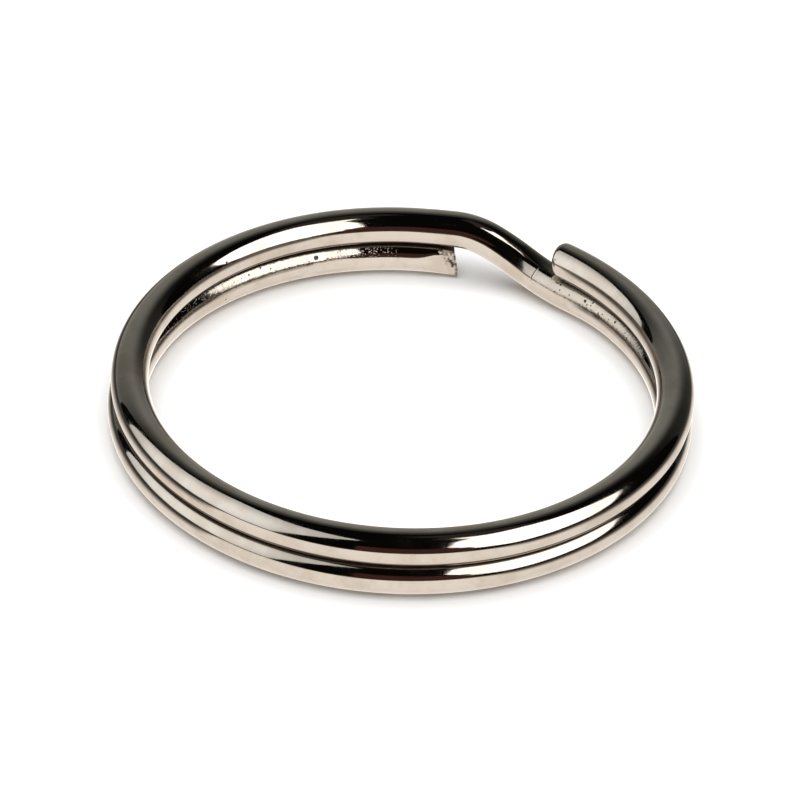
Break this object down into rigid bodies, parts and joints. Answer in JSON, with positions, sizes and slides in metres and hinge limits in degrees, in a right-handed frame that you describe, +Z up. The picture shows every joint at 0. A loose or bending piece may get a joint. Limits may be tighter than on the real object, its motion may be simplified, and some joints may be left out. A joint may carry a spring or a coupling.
{
  "type": "split ring",
  "caption": "Nickel-plated split key ring: one sprung wire coiled twice, stepped by a joggle, with sheared ends.",
  "frame": {"origin": "centre of the lower turn, on the plane that it lies on", "axes": "+Z up along the ring's axis, from the lower turn to the upper one; +Y from the ring's centre to the back, where the joggle and both ends of the wire are, a little to the right; +X to the right"},
  "size_m": [0.0302, 0.0302, 0.0037],
  "materials": {
    "nickel_wire": "bright nickel plate on sprung steel wire"
  },
  "bodies": {
    "root": {"split_ring": "nickel_wire"}
  },
  "joints": []
}
